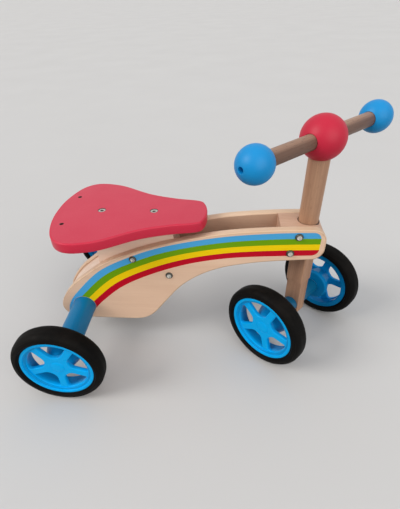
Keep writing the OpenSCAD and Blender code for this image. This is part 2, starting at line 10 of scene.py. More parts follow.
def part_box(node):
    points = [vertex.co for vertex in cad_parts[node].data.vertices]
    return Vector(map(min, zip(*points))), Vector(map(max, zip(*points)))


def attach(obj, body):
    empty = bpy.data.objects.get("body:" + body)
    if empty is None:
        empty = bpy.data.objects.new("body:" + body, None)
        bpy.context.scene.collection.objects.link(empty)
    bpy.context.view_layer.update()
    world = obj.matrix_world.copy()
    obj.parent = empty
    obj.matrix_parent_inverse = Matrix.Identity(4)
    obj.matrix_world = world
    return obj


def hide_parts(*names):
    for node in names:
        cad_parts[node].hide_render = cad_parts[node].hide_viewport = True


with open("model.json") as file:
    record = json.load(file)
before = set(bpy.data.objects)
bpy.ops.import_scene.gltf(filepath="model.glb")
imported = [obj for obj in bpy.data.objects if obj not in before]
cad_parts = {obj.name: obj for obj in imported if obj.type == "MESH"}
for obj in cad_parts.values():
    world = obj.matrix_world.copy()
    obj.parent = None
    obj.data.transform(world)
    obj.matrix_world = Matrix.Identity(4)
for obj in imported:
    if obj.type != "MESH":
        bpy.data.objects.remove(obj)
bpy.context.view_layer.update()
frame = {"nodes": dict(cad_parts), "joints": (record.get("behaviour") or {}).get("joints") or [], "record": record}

# Shapes are drawn in millimetres and turned into metres when a piece is made.
MM = 0.001
joints = {joint["name"]: joint for joint in frame["joints"]}


def node_box(node):
    """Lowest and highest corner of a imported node, in millimetres."""
    low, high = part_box(node)
    return low / MM, high / MM


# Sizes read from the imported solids
rear_axle_x = joints["rear_right_spin"]["pos_m"][0] / MM
steer_x = joints["steer"]["pos_m"][0] / MM
rear_half_track = joints["rear_left_spin"]["pos_m"][1] / MM
front_axis = joints["front_right_spin"]["axis"]
steer_turn = math.atan2(front_axis[0], front_axis[1])
front_centre = Vector(joints["front_left_spin"]["pos_m"]) / MM
front_half_track = math.hypot(front_centre.x - steer_x, front_centre.y)
tyre_low, tyre_high = node_box("rear_right_tyre")
wheel_r = tyre_high.z / 2
tyre_half = (tyre_high.y - tyre_low.y) / 2
panel_low, panel_high = node_box("right_side_panel")
panel_inner = panel_high.y
panel_outer = panel_low.y
arm_top = panel_high.z
nose_x = panel_high.x - rear_axle_x
seat_low, seat_high = node_box("seat")
bar_low, bar_high = node_box("handlebar")
bar_z = (bar_low.z + bar_high.z) / 2
bar_r = (bar_high.z - bar_low.z) / 2
post_low, post_high = node_box("steering_post")
post_r = (post_high.x - post_low.x) / 2
beam_low, beam_high = node_box("rear_beam")

# Wheel sizes, about the wheel's middle plane
RIM_R = 51.5
RIM_HALF = 11.25
LIP_R = 47.1
LIP_STEP = 1.8
FLANGE_T = 3
CHANNEL_R = 47.7
BARREL_R = 43.7
STAR_IN_RIM = 1.6
STAR_FRONT = 7.5
STAR_BACK = 1.5
SPOKES = 5
SPOKE_W = 11
WINDOW_OUT = 42.7
WINDOW_IN = 18.5
WINDOW_OUT_CORNER = 3
WINDOW_IN_CORNER = 10
HUB_R = 25
HUB_REACH = 26
HUB_LIP = 6
AXLE_R = 4
CAP_R = 10
CAP_DOME = 0.8
CAP_SINK = 2.5
TYRE_SHOULDER = 10.5
RING_ANGLE = 34
RING_H = 0.5
RUBBER_FOOT = 8
REAR_SPOKE_ANGLE = 55
FRONT_SPOKE_ANGLE = 68

# Side panel outline about the rear axle: along the top to the tail, back along the underside
NOSE_CORNER = 18
ARM_H = 48
PANEL_ROUND = 1.6
TWO_PLIES = 2.4
TAIL_SETBACK = 3.5
TAIL_EDGE = 0.05
TAIL_CORNER_ROOM = 2
BEAM_HOLE_R = 18.05
arm_bottom = arm_top - ARM_H
panel_points = [
    (nose_x - NOSE_CORNER, arm_top), (290, arm_top - 1.8), (225, arm_top - 8), (161, 193),
    (100, 174.5), (45, 150), (0, 117), (-16, 102), (-28, 87), (-36, 72),
    (-38, 58), (-31, 46), (-15, 39.5), (10, 38), (60, 38), (88, 39), (104, 44.5),
    (118, 57), (136, 81), (160, 111), (188, 133), (220, 148), (257, arm_bottom - 9.4),
    (295, arm_bottom - 4), (nose_x - NOSE_CORNER, arm_bottom),
]

# Printed band: its two edges about the rear axle, tail to nose, the round of its front end, its inks
BAND_TOP = [
    (-29.5, 50), (-23.4, 69.9), (-6.1, 93.7), (36.5, 136.6), (89.7, 165.4),
    (143.6, 185.1), (218.7, 201.2), (290.1, 208.7), (342.5, 210.9), (356, 211),
]
BAND_BOTTOM = [
    (8, 45.5), (18.3, 59.8), (34.9, 78.2), (68.3, 107.2), (112.9, 131.8),
    (167.7, 152.8), (219.4, 164.6), (269.3, 170.1), (342.5, 174.1), (356, 174.4),
]
BAND_END_X = 342.5
BAND_END_R = 10.3
FIRST_INK = 3
STRIPES = [
    ("stripe_blue", (78, 172, 228), 0.12), ("stripe_green", (112, 164, 0), 0.12),
    ("stripe_yellow", (252, 214, 0), 0.1), ("stripe_red", (196, 0, 34), 0.12),
]

# Seat outline, left half, from the nose to the middle of the rear edge
SEAT_SIDE = [
    (199.2, 0), (195.2, 22.6), (185.5, 33), (150, 40), (110, 53.5), (70, 77.2), (50, 85.4),
    (28, 89.2), (11, 85.2), (-2, 72.4), (-11, 51.6), (-17, 25), (-18.5, 0),
]
SEAT_ROUND = 2
SEAT_UNDER_ROUND = 1.5
SEAT_SCREWS_X = [47.5, 123.5]
SEAT_RECESS_R = 5.3
BACK_HOLES = [(2, -40), (2, 40)]
BACK_HOLE_R = 2.5

# Panel screws on the side view, about the rear axle
FRONT_SCREWS = [(323.6, 203.8), (314.7, 177.2)]
MIDDLE_SCREWS = [(91, 160.4), (143.3, 132.3)]
SCREW_HOLE_R = 2.3
SCREW_SHANK_R = 2.25
SCREW_SHANK_L = 21
SCREW_HEAD_R = 5.5
SCREW_HEAD_H = 3
SEAT_SCREW_SHANK_L = 40
SEAT_SCREW_HEAD_R = 4.7
SEAT_SCREW_HEAD_H = 2.6
SEAT_SCREW_SINK = 0.6
SCREW_SOCKET = 4.6

# Steering, and the room left round what sits in a bore
BAR_TWIST = math.radians(4.8)
BAR_SPAN = 241
BAR_PAST_BALL = 7
GRIP_R = 21.75
GRIP_HOLE_R = 3.6
GRIP_HOLE_FLOOR = 3
GRIP_SCREW_R = 1.6
CENTRE_BALL_R = 28
TENON_R = 8
SPACER_R = 11.5
WASHER_ROOM = 1.6
SLEEVE_L = 12
SLEEVE_GAP = 0.3
SLEEVE_SINK = 0.4
TONGUE_HALF = 10
FIT = 0.05


# Curves and outlines

def curve_point(a, b, c, d, t):
    """Point of the smooth curve between b and c, with neighbours a and d."""
    return (2 * b + (c - a) * t + (2 * a - 5 * b + 4 * c - d) * t * t + (3 * b - a - 3 * c + d) * t ** 3) / 2


def smooth_curve(points, steps):
    """Smooth open curve through the points."""
    points = [Vector(p) for p in points]
    last = len(points) - 1
    curve = []
    for i in range(last):
        around = [points[max(i - 1, 0)], points[i], points[i + 1], points[min(i + 2, last)]]
        curve += [curve_point(*around, step / steps) for step in range(steps)]
    return curve + [points[last]]


def smooth_loop(points, steps):
    """Smooth closed curve through the points."""
    points = [Vector(p) for p in points]
    count = len(points)
    loop = []
    for i in range(count):
        around = [points[(i + k) % count] for k in (-1, 0, 1, 2)]
        loop += [curve_point(*around, step / steps) for step in range(steps)]
    return loop


def arc(centre, radius, start, end, steps):
    """Points of an arc, from one angle in degrees to another."""
    angles = [math.radians(start + (end - start) * i / steps) for i in range(steps + 1)]
    return [Vector(centre) + radius * Vector((math.cos(a), math.sin(a))) for a in angles]


def circle(centre, radius, count):
    """Points of a full circle, counter-clockwise."""
    return arc(centre, radius, 0, 360, count)[:-1]


def inset(outline, distance):
    """A counter-clockwise outline moved inward by a distance."""
    count = len(outline)
    moved = []
    for i in range(count):
        way = outline[(i + 1) % count] - outline[i - 1]
        moved.append(outline[i] - distance * Vector((way.y, -way.x)).normalized())
    return moved


def even_points(curve, count):
    """The same curve with points at even distances."""
    reach = [0]
    for a, b in zip(curve, curve[1:]):
        reach.append(reach[-1] + (b - a).length)
    points = []
    k = 0
    for i in range(count):
        goal = reach[-1] * i / (count - 1)
        while k < len(curve) - 2 and reach[k + 1] < goal:
            k += 1
        share = (goal - reach[k]) / (reach[k + 1] - reach[k])
        points.append(curve[k].lerp(curve[k + 1], share))
    return points


def filleted(corners, closed=False, steps=4):
    """A path of (x, y, radius) corners with each corner rounded to its radius."""
    path = []
    count = len(corners)
    for i, (x, y, radius) in enumerate(corners):
        here = Vector((x, y))
        if radius == 0 or (not closed and i in (0, count - 1)):
            path.append(here)
            continue
        back = (Vector(corners[i - 1][:2]) - here).normalized()
        ahead = (Vector(corners[(i + 1) % count][:2]) - here).normalized()
        half = back.angle(ahead) / 2
        centre = here + (back + ahead).normalized() * radius / math.sin(half)
        start = here + back * radius / math.tan(half) - centre
        end = here + ahead * radius / math.tan(half) - centre
        first = math.atan2(start.y, start.x)
        turn = (math.atan2(end.y, end.x) - first + math.pi) % (2 * math.pi) - math.pi
        for k in range(steps + 1):
            angle = first + turn * k / steps
            path.append(centre + radius * Vector((math.cos(angle), math.sin(angle))))
    return path


def inside(point, loop):
    """Whether a point is inside a closed loop."""
    hit = False
    for a, b in zip(loop, loop[1:] + loop[:1]):
        if (a.y > point.y) != (b.y > point.y):
            if point.x < a.x + (point.y - a.y) * (b.x - a.x) / (b.y - a.y):
                hit = not hit
    return hit


# Mesh making: flat strip beside a rounded edge, distance at which points join, largest smooth angle
HOLD = 0.4
SEAM = 1e-3
CREASE = 38


def add_row(bm, points, height, at):
    """A ring of vertices at a height, moved by a matrix."""
    return [bm.verts.new(at @ Vector((p.x, p.y, height))) for p in points]


def bridge(bm, a, b, paint=0):
    """Quads between two closed rings; a ring of one vertex is a pole."""
    count = max(len(a), len(b))
    for i in range(count):
        j = (i + 1) % count
        if len(a) == 1:
            corners = (a[0], b[j], b[i])
        elif len(b) == 1:
            corners = (a[i], a[j], b[0])
        else:
            corners = (a[i], a[j], b[j], b[i])
        bm.faces.new(corners).material_index = paint


def flat_fill(bm, outline, holes, height, at, lines=(), painter=None):
    """Fills an outline round its holes; painter gives each face's material from its middle."""
    points = []
    edges = []
    for loop, closed in [(outline, True)] + [(h, True) for h in holes] + [(line, False) for line in lines]:
        first = len(points)
        points += loop
        count = len(loop)
        edges += [(first + i, first + (i + 1) % count) for i in range(count if closed else count - 1)]
    places, _, triangles, _, _, _ = delaunay_2d_cdt(points, edges, [], 0, 1e-4)
    verts = [bm.verts.new(at @ Vector((p.x, p.y, height))) for p in places]
    for triangle in triangles:
        middle = sum((places[i] for i in triangle), Vector((0, 0))) / 3
        if inside(middle, outline) and not any(inside(middle, hole) for hole in holes):
            face = bm.faces.new([verts[i] for i in triangle])
            face.material_index = painter(middle) if painter else 0
    bmesh.ops.delete(bm, geom=[v for v in verts if not v.link_faces], context="VERTS")


def edge_levels(low, high, round_low, round_high, steps=4):
    """Pairs of inset and height up the side of a plate with rounded edges."""
    angles = [math.pi / 2 * k / steps for k in range(steps + 1)]
    levels = [(round_low * (1 - math.sin(a)), low + round_low * (1 - math.cos(a))) for a in angles]
    return levels + [(round_high * (1 - math.cos(a)), high - round_high * (1 - math.sin(a))) for a in angles]


def plate(bm, outline, low, high, rounds, holes=(), at=Matrix(), paints=(0, 0), lines=(), painter=None):
    """Plate between two heights. Rounds are the edge radii below and above; a hole is (loop, radii, paint);
    paints are for the underside and the rim."""
    under, rim = paints
    edges = [(outline, rounds, rim, 1)] + [(*hole, -1) for hole in holes]
    caps = {low: [], high: []}
    for loop, radii, paint_index, way in edges:
        levels = edge_levels(low, high, *radii)
        levels = [(radii[0] + HOLD, low)] + levels + [(radii[1] + HOLD, high)]
        rows = [add_row(bm, inset(loop, way * distance), height, at) for distance, height in levels]
        for a, b in zip(rows, rows[1:]):
            bridge(bm, a, b, paint_index)
        caps[low].append(inset(loop, way * levels[0][0]))
        caps[high].append(inset(loop, way * levels[-1][0]))
    flat_fill(bm, caps[low][0], caps[low][1:], low, at, painter=lambda middle: under)
    flat_fill(bm, caps[high][0], caps[high][1:], high, at, lines, painter)


def revolve(bm, path, at=Matrix(), closed=False, count=96):
    """Turns a path of (radius, height) about the Z axis."""
    rows = []
    for radius, height in path:
        if radius < 1e-6:
            rows.append([bm.verts.new(at @ Vector((0, 0, height)))])
        else:
            rows.append(add_row(bm, circle((0, 0), radius, count), height, at))
    pairs = list(zip(rows, rows[1:]))
    if closed:
        pairs.append((rows[-1], rows[0]))
    for a, b in pairs:
        bridge(bm, a, b)


def rod(bm, radius, low, high, edge, hole=0.0, at=Matrix(), count=72):
    """Round bar along Z with rounded ends, bored through if hole is given."""
    if hole:
        corners = [(hole, low, 0.2), (radius, low, edge), (radius, high, edge), (hole, high, 0.2)]
        revolve(bm, filleted(corners, closed=True), at, closed=True, count=count)
    else:
        corners = [(0, low, 0), (radius, low, edge), (radius, high, edge), (0, high, 0)]
        revolve(bm, filleted(corners), at, count=count)


def close_seams(bm):
    """Splits each open edge where the end of another open edge lies on it, and joins the two."""
    edges = [edge for edge in bm.edges if len(edge.link_faces) == 1]
    ends = {vert for edge in edges for vert in edge.verts}
    for edge in edges:
        start = edge.verts[0]
        way = edge.verts[1].co - start.co
        for vert in ends.difference(edge.verts):
            share = (vert.co - start.co).dot(way) / way.length_squared
            if 0 < share < 1 and (start.co + way * share - vert.co).length < SEAM:
                bmesh.utils.edge_split(edge, start, share)
                break
    bmesh.ops.remove_doubles(bm, verts=bm.verts, dist=SEAM)


def finished_mesh(name, bm):
    """Turns drawn millimetres into a clean mesh in metres, smooth up to the crease angle."""
    bmesh.ops.remove_doubles(bm, verts=bm.verts, dist=SEAM)
    close_seams(bm)
    bmesh.ops.recalc_face_normals(bm, faces=bm.faces)
    bm.transform(Matrix.Scale(MM, 4))
    mesh = bpy.data.meshes.new(name)
    bm.to_mesh(mesh)
    bm.free()
    mesh.shade_smooth()
    mesh.set_sharp_from_angle(angle=math.radians(CREASE))
    return mesh


def in_metres(matrix):
    """The same placement with its move turned from millimetres into metres."""
    placed = matrix.copy()
    placed.translation = matrix.translation * MM
    return placed


def new_object(name, data):
    """A scene object that holds a mesh, a light or a camera."""
    thing = bpy.data.objects.new(name, data)
    bpy.context.scene.collection.objects.link(thing)
    return thing


def set_piece(name, mesh, finishes, body, slot, stands_for, at=Matrix()):
    """Places a mesh as a piece of the toy, with its finishes, and hides the solids it stands for."""
    piece = new_object(name, mesh)
    piece.matrix_world = in_metres(at)
    if not mesh.materials:
        for finish in finishes:
            mesh.materials.append(finish)
    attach(piece, body)
    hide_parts(*stands_for)
    return piece


def make_piece(name, bm, *settings):
    """Places a drawn shape as a piece of the toy."""
    return set_piece(name, finished_mesh(name, bm), *settings)


# Finishes

def light_value(channel):
    """Linear value of a channel from 0 to 255."""
    share = channel / 255
    return share / 12.92 if share <= 0.04045 else ((share + 0.055) / 1.055) ** 2.4


def colour(red, green, blue):
    """Linear colour of a paint as it looks in plain light."""
    return (light_value(red), light_value(green), light_value(blue), 1)


def add(tree, kind, inputs=None, **settings):
    """Adds a shader node; an input is a value or another node's socket."""
    node = tree.nodes.new("ShaderNode" + kind)
    for key, value in settings.items():
        setattr(node, key, value)
    feed(tree, node, inputs or {})
    return node


def feed(tree, node, inputs):
    """Sets or links a node's inputs by name or number."""
    for key, value in inputs.items():
        if isinstance(value, bpy.types.NodeSocket):
            tree.links.new(value, node.inputs[key])
        else:
            node.inputs[key].default_value = value


def sums(tree, operation, *values):
    """Output of a math node."""
    return add(tree, "Math", dict(enumerate(values)), operation=operation).outputs[0]


def span(tree, value, low, high, to_low=0.0, to_high=1.0):
    """A value moved from one span to another, kept inside it."""
    inputs = {0: value, 1: low, 2: high, 3: to_low, 4: to_high}
    return add(tree, "MapRange", inputs).outputs[0]


def tint(tree, share, a, b, blend="MIX"):
    """Colour a turned towards colour b by a share."""
    node = add(tree, "Mix", data_type="RGBA", blend_type=blend)
    feed(tree, node, {0: share, 6: a, 7: b})
    return node.outputs[2]


def stretched(tree, place, scale):
    """A place scaled along each axis."""
    return add(tree, "VectorMath", {0: place, 1: scale}, operation="MULTIPLY").outputs[0]


def mottle(tree, place, scale, detail=3.0, roughness=0.5, distortion=0.0):
    """Noise from 0 to 1."""
    noise = add(tree, "TexNoise", {"Vector": place, "Scale": scale, "Detail": detail})
    feed(tree, noise, {"Roughness": roughness, "Distortion": distortion})
    return noise.outputs[0]


def upward(tree):
    """How far a surface faces up, from -1 to 1."""
    return add(tree, "SeparateXYZ", {0: add(tree, "NewGeometry").outputs["Normal"]}).outputs[2]


def grain_along_x(tree, place):
    """A place turned so that the grain runs along X."""
    return add(tree, "Mapping", {"Vector": place, "Rotation": (0, math.pi / 2, 0)}).outputs[0]


def new_effect(name, inputs, outputs):
    """An empty shader group with named sockets; gives the group, its inputs and its outputs."""
    tree = bpy.data.node_groups.new(name, "ShaderNodeTree")
    for label, kind in inputs:
        tree.interface.new_socket(label, in_out="INPUT", socket_type="NodeSocket" + kind)
    for label, kind in outputs:
        tree.interface.new_socket(label, in_out="OUTPUT", socket_type="NodeSocket" + kind)
    return tree, tree.nodes.new("NodeGroupInput").outputs, tree.nodes.new("NodeGroupOutput")


def use(tree, effect, inputs):
    """Places an effect in a material and gives its outputs."""
    node = tree.nodes.new("ShaderNodeGroup")
    node.node_tree = effect
    feed(tree, node, inputs)
    return node.outputs


def wood_grain_effect():
    """Grain that runs along Z: broad figure, fine fibres and short dark flecks."""
    tree, given, out = new_effect(
        "wood_grain",
        [
            ("Place", "Vector"), ("Light", "Color"), ("Dark", "Color"),
            ("Figure", "Float"), ("Flecks", "Float"),
        ],
        [("Color", "Color"), ("Height", "Float"), ("Roughness", "Float")],
    )
    broad = mottle(tree, stretched(tree, given["Place"], (1, 1, 0.07)), 75, 2, 0.5, 0.6)
    fibres = mottle(tree, stretched(tree, given["Place"], (1, 1, 0.025)), 620, 5, 0.65)
    flecks = span(tree, mottle(tree, stretched(tree, given["Place"], (1, 1, 0.13)), 900, 1), 0.64, 0.72)
    figure = sums(tree, "ADD", span(tree, broad, 0.3, 0.7, 0, 0.6), span(tree, fibres, 0.3, 0.7, 0, 0.4))
    toned = tint(tree, sums(tree, "MULTIPLY", figure, given["Figure"]), given["Light"], given["Dark"])
    flecked = tint(tree, sums(tree, "MULTIPLY", flecks, given["Flecks"]), toned, given["Dark"])
    feed(tree, out, {
        "Color": flecked,
        "Height": sums(tree, "SUBTRACT", fibres, sums(tree, "MULTIPLY", flecks, 0.6)),
        "Roughness": span(tree, fibres, 0.25, 0.75, 0.42, 0.56),
    })
    return tree


def paint_skin_effect():
    """Sprayed paint: soft clouds of tone, fine pale specks, orange peel and wood fibres under it."""
    tree, given, out = new_effect(
        "paint_skin",
        [
            ("Place", "Vector"), ("Paint", "Color"), ("Clouds", "Float"),
            ("Specks", "Float"), ("Gloss", "Float"),
        ],
        [("Color", "Color"), ("Height", "Float"), ("Roughness", "Float")],
    )
    clouds = mottle(tree, given["Place"], 26, 3)
    peel = mottle(tree, given["Place"], 420, 2)
    specks = span(tree, mottle(tree, given["Place"], 1500, 1), 0.68, 0.76)
    deeper = tint(tree, 1.0, given["Paint"], (0.72, 0.72, 0.72, 1), "MULTIPLY")
    toned = tint(tree, sums(tree, "MULTIPLY", clouds, given["Clouds"]), given["Paint"], deeper)
    specked = tint(tree, sums(tree, "MULTIPLY", specks, given["Specks"]), toned, (0.9, 0.88, 0.86, 1))
    fibres = mottle(tree, stretched(tree, given["Place"], (0.05, 1, 1)), 300, 3)
    feed(tree, out, {
        "Color": specked,
        "Height": sums(tree, "ADD", peel, sums(tree, "MULTIPLY", fibres, 0.5)),
        "Roughness": sums(tree, "ADD", given["Gloss"], span(tree, clouds, 0.3, 0.7, -0.04, 0.06)),
    })
    return tree


def dust_effect():
    """Thin patchy dust on what faces up."""
    tree, given, out = new_effect(
        "dust",
        [("Place", "Vector"), ("Under", "Color"), ("Dust", "Color"), ("Amount", "Float")],
        [("Color", "Color"), ("Mask", "Float")],
    )
    up = span(tree, upward(tree), -0.2, 0.9)
    patches = span(tree, mottle(tree, given["Place"], 55, 5, 0.65), 0.38, 0.72)
    mask = sums(tree, "MULTIPLY", sums(tree, "MULTIPLY", up, patches), given["Amount"])
    feed(tree, out, {"Color": tint(tree, mask, given["Under"], given["Dust"]), "Mask": mask})
    return tree


wood_grain = wood_grain_effect()
paint_skin = paint_skin_effect()
dust = dust_effect()


def new_finish(name):
    """An empty material; gives it, its tree, its shader and the place on the piece."""
    finish = bpy.data.materials.new(name)
    finish.use_nodes = True
    tree = finish.node_tree
    shader = tree.nodes["Principled BSDF"]
    place = tree.nodes.new("ShaderNodeTexCoord").outputs["Object"]
    return finish, tree, shader, place


def seen_as_background(tree):
    """1 where the picture, a reflection or a clear part shows the surface, 0 for the light it throws."""
    path = add(tree, "LightPath").outputs
    mirrored = sums(tree, "MAXIMUM", path["Is Glossy Ray"], path["Is Transmission Ray"])
    return sums(tree, "MAXIMUM", path["Is Camera Ray"], mirrored)


def bump(tree, height, depth, strength=0.5):
    """Normal of a surface with a height in millimetres."""
    return add(tree, "Bump", {"Height": height, "Distance": depth * MM, "Strength": strength}).outputs[0]


def timber(name, light, dark, figure, flecks, along="Z", painted_shade_below=0.0):
    """Clear-lacquered wood with its grain along an axis; with painted shade below, all but its top is darker."""
    finish, tree, shader, place = new_finish(name)
    grain = use(tree, wood_grain, {
        "Place": grain_along_x(tree, place) if along == "X" else place,
        "Light": light, "Dark": dark, "Figure": figure, "Flecks": flecks,
    })
    tone = grain["Color"]
    # Painted shade: the wood turns towards its dark tone as the surface faces away from up.
    if painted_shade_below:
        tone = tint(tree, span(tree, upward(tree), 0.6, 1, painted_shade_below, 0), tone, dark)
    feed(tree, shader, {
        "Base Color": tone,
        "Roughness": grain["Roughness"],
        "Normal": bump(tree, grain["Height"], 0.06),
        "Coat Weight": 0.12,
        "Coat Roughness": 0.35,
    })
    return finish


def plywood_edge():
    """Sanded edge of the side panels: thin plies across the thickness."""
    finish, tree, shader, place = new_finish("plywood_edge")
    grain = use(tree, wood_grain, {
        "Place": grain_along_x(tree, place), "Light": colour(232, 202, 174), "Dark": colour(206, 168, 134),
        "Figure": 0.8, "Flecks": 0.3,
    })
    across = add(tree, "SeparateXYZ", {0: place}).outputs[1]
    plies = sums(tree, "SINE", sums(tree, "MULTIPLY", across, 2 * math.pi / (TWO_PLIES * MM)))
    darker = tint(tree, 1.0, grain["Color"], (0.84, 0.78, 0.72, 1), "MULTIPLY")
    feed(tree, shader, {
        "Base Color": tint(tree, span(tree, plies, -0.2, 0.6, 0, 0.45), grain["Color"], darker),
        "Roughness": grain["Roughness"],
        "Normal": bump(tree, grain["Height"], 0.08),
        "Coat Weight": 0.08,
    })
    return finish


def paint(name, tone, clouds, specks, gloss, coat, shine=0.5):
    """Sprayed paint over wood."""
    finish, tree, shader, place = new_finish(name)
    skin = use(tree, paint_skin, {
        "Place": place, "Paint": tone, "Clouds": clouds, "Specks": specks, "Gloss": gloss,
    })
    feed(tree, shader, {
        "Base Color": skin["Color"],
        "Roughness": skin["Roughness"],
        "Normal": bump(tree, skin["Height"], 0.03),
        "Specular IOR Level": shine,
        "Coat Weight": coat,
        "Coat Roughness": 0.2,
    })
    return finish


def moulded_plastic():
    """Blue plastic of the wheels with faint clouds and dust, with painted shade: darker deeper inside the wheel
    and on the step of the rim.
    """
    finish, tree, shader, place = new_finish("wheel_plastic")
    outward = add(tree, "SeparateXYZ", {0: place}).outputs[2]
    # Painted shade: the blue darkens the deeper a surface lies inside the wheel, and in the corner of the rim's
    # step.
    depth = span(tree, outward, (STAR_BACK - 5) * MM, (STAR_FRONT - 1) * MM, 0.65, 0)
    flat = stretched(tree, place, (1, 1, 0))
    from_axle = add(tree, "VectorMath", {0: flat}, operation="LENGTH").outputs[1]
    past_star = span(tree, from_axle, (BARREL_R - 0.3) * MM, (BARREL_R + 0.3) * MM)
    before_lip = span(tree, from_axle, (LIP_R - 0.6) * MM, LIP_R * MM, 0.4, 0)
    darker = sums(tree, "MAXIMUM", depth, sums(tree, "MULTIPLY", past_star, before_lip))
    # The second blue is the painted shade tone.
    tone = tint(tree, darker, colour(0, 178, 252), colour(0, 84, 142))
    skin = use(tree, paint_skin, {
        "Place": place, "Paint": tone, "Clouds": 0.2, "Specks": 0.01, "Gloss": 0.26,
    })
    dusty = use(tree, dust, {
        "Place": place, "Under": skin["Color"], "Dust": colour(150, 170, 185), "Amount": 0.02,
    })
    feed(tree, shader, {
        "Base Color": dusty["Color"],
        "Roughness": sums(tree, "ADD", skin["Roughness"], sums(tree, "MULTIPLY", dusty["Mask"], 0.5)),
        "Normal": bump(tree, skin["Height"], 0.015),
        "Specular IOR Level": 0.08,
    })
    return finish


def tyre_rubber():
    """Soft black rubber with a fine grain and brown floor dust."""
    finish, tree, shader, place = new_finish("tyre_rubber")
    pores = mottle(tree, place, 1900, 2)
    worn = mottle(tree, place, 70, 4)
    black = tint(tree, worn, colour(8, 8, 8), colour(16, 15, 14))
    dusty = use(tree, dust, {"Place": place, "Under": black, "Dust": colour(110, 96, 86), "Amount": 0.04})
    feed(tree, shader, {
        "Base Color": dusty["Color"],
        "Roughness": span(tree, worn, 0.3, 0.7, 0.5, 0.64),
        "Normal": bump(tree, pores, 0.04),
        "Specular IOR Level": 0.06,
    })
    return finish


def metal(name, bright, dull, smooth, rough):
    """Plated steel with fine turning marks and dull patches."""
    finish, tree, shader, place = new_finish(name)
    patches = mottle(tree, place, 260, 4)
    marks = mottle(tree, stretched(tree, place, (1, 1, 9)), 900, 2)
    feed(tree, shader, {
        "Base Color": tint(tree, patches, bright, dull),
        "Metallic": 1.0,
        "Roughness": span(tree, patches, 0.3, 0.7, smooth, rough),
        "Normal": bump(tree, marks, 0.02),
    })
    return finish


def smooth_nylon(name, light, dark):
    """Plain moulded nylon of the sleeves and washers."""
    finish, tree, shader, place = new_finish(name)
    cloudy = mottle(tree, place, 180, 3)
    feed(tree, shader, {
        "Base Color": tint(tree, cloudy, light, dark),
        "Roughness": span(tree, cloudy, 0.3, 0.7, 0.4, 0.55),
        "Normal": bump(tree, mottle(tree, place, 900), 0.02),
    })
    return finish


# Woods: light and dark tone, figure, flecks. Paints: tone, clouds, specks, roughness, coat, shine.
plywood_face = timber("plywood_face", colour(240, 204, 175), colour(220, 177, 146), 0.55, 0.2, along="X")
# The panels' inner faces: a darker copy of the plywood, as painted shade between the panels.
plywood_inner_painted_shade = timber("plywood_inner_painted_shade", colour(204, 168, 142), colour(178, 140, 114), 0.6, 0.3, along="X")
beech = timber("beech", colour(192, 150, 119), colour(138, 97, 72), 0.85, 0.5)
# Handlebar wood with painted shade: darker everywhere but on its top.
beech_painted_shade = timber("beech_painted_shade", colour(178, 141, 117), colour(84, 55, 42), 0.55, 0.6, painted_shade_below=0.8)
beech_level = timber("beech_level", colour(216, 177, 150), colour(186, 142, 115), 0.8, 0.4, along="X")
# Pale wood of the seat block and tail filler, made lighter still as painted light where the seat shades it.
beech_pale_painted_light = timber("beech_pale_painted_light", colour(242, 216, 196), colour(222, 190, 166), 0.7, 0.3, along="X")
ply_edge = plywood_edge()
seat_red = paint("seat_red", colour(206, 42, 72), 0.2, 0.15, 0.4, 0.12)
seat_rim = paint("seat_rim", colour(208, 34, 66), 0.2, 0.08, 0.42, 0.04, 0.4)
ball_red = paint("ball_red", colour(200, 30, 60), 0.2, 0.03, 0.46, 0, 0.35)
ball_blue = paint("ball_blue", colour(4, 144, 212), 0.2, 0.03, 0.44, 0, 0.35)
beam_blue = paint("beam_blue", colour(4, 118, 168), 0.3, 0.02, 0.36, 0.06, 0.3)
# The spacers: a darker copy of the beam's blue, as painted shade.
spacer_blue_painted_shade = paint("spacer_blue_painted_shade", colour(2, 92, 130), 0.3, 0.02, 0.36, 0.06, 0.3)
print_inks = [paint(name, colour(*ink), clouds, 0.01, 0.5, 0, 0.2) for name, ink, clouds in STRIPES]
wheel_plastic = moulded_plastic()
tyre_black = tyre_rubber()
# Dark wood for the walls of the seat's recesses and holes: painted shade.
recess_wood_painted_shade = timber("recess_wood_painted_shade", colour(78, 46, 44), colour(48, 28, 28), 0.6, 0.2)
steel = metal("plated_steel", colour(236, 234, 228), colour(196, 194, 186), 0.26, 0.42)
# Dark steel as painted light: the dark reflection on the panel screws' sloping rims and the shade in the seat
# screws' sockets.
steel_painted_shade = metal("steel_painted_shade", colour(104, 104, 98), colour(74, 74, 68), 0.4, 0.6)
nylon = smooth_nylon("pale_nylon", colour(226, 222, 210), colour(206, 201, 188))
# Dark nylon for the sleeves: painted shade, so the sleeve top shows as the shadowed gap round the post.
nylon_painted_shade = smooth_nylon("nylon_painted_shade", colour(88, 62, 50), colour(70, 48, 39))


def facing(side):
    """Turns +Z to the right or the left."""
    return Matrix.Rotation(math.pi / 2 if side == "right" else -math.pi / 2, 4, "X")


# Frame pieces

def panel_outline():
    """Outline of a side panel about the rear axle, counter-clockwise."""
    corner_x = nose_x - NOSE_CORNER
    below = arc((corner_x, arm_bottom + NOSE_CORNER), NOSE_CORNER, -78, 0, 8)
    above = arc((corner_x, arm_top - NOSE_CORNER), NOSE_CORNER, 0, 78, 8)
    return smooth_curve(panel_points, 8) + below + above


def band_curves():
    """The five lines that bound the four stripes, tail to nose."""
    top = even_points(smooth_curve(BAND_TOP, 12), 150)
    bottom = even_points(smooth_curve(BAND_BOTTOM, 12), 150)
    count = len(STRIPES)
    return [[a.lerp(b, k / count) for a, b in zip(top, bottom)] for k in range(count + 1)]


def in_band_end(point, top, bottom):
    """Whether a point is inside the rounded front end of the band."""
    if point.x < BAND_END_X:
        return True
    if point.y > top - BAND_END_R:
        return (point - Vector((BAND_END_X, top - BAND_END_R))).length < BAND_END_R
    if point.y < bottom + BAND_END_R:
        return (point - Vector((BAND_END_X, bottom + BAND_END_R))).length < BAND_END_R
    return point.x < BAND_END_X + BAND_END_R


